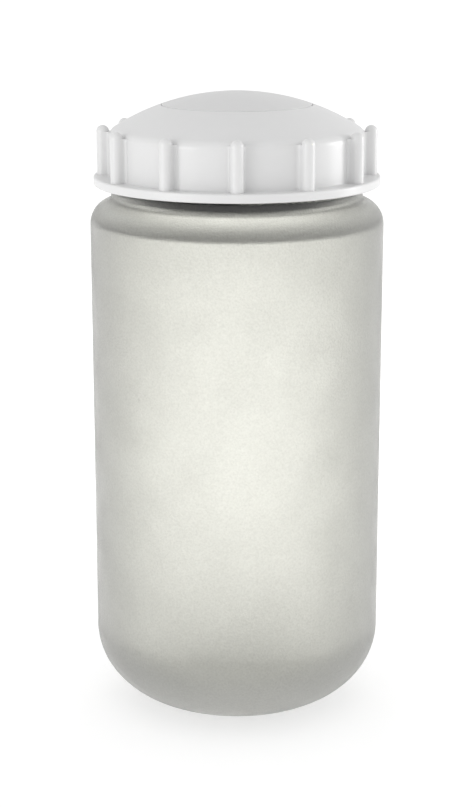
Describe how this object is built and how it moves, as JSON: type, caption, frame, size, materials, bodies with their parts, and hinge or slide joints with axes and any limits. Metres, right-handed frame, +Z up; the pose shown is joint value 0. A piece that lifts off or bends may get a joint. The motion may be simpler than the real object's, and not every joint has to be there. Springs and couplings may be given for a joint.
{
  "type": "laboratory bottle",
  "caption": "Wide-mouth frosted plastic laboratory bottle with a rounded base, a ribbed white screw cap and a captive sealing plug with a seal ring.",
  "frame": {"origin": "centre of the base, on the surface that the bottle stands on", "axes": "+Z up along the bottle's axis, front at -Y with one grip rib facing it"},
  "size_m": [0.062, 0.062, 0.1331],
  "materials": {
    "frosted_polypropylene": "frosted, translucent natural polypropylene",
    "white_polypropylene": "white, soft gloss",
    "plug_polypropylene": "white, soft gloss",
    "seal_rubber": "smooth dark grey silicone"
  },
  "bodies": {
    "bottle body": {"bottle": "frosted_polypropylene"},
    "seal body": {"seal_plug": "plug_polypropylene", "seal_ring": "seal_rubber"},
    "cap body": {"screw_cap": "white_polypropylene"}
  },
  "joints": [
    {"name": "seal_lift", "type": "slide", "parent": "bottle body", "child": "seal body", "axis": [0, 0, 1], "range_m": [0, 0.0253]},
    {"name": "cap_turn", "type": "hinge", "parent": "seal body", "child": "cap body", "pos_m": [0, 0, 0.12], "axis": [0, 0, 1], "range_deg": [0, 2160]}
  ],
  "couplings": [
    {"joint": "seal_lift", "follows": "cap_turn", "m_per_rad": 0.00066845}
  ]
}
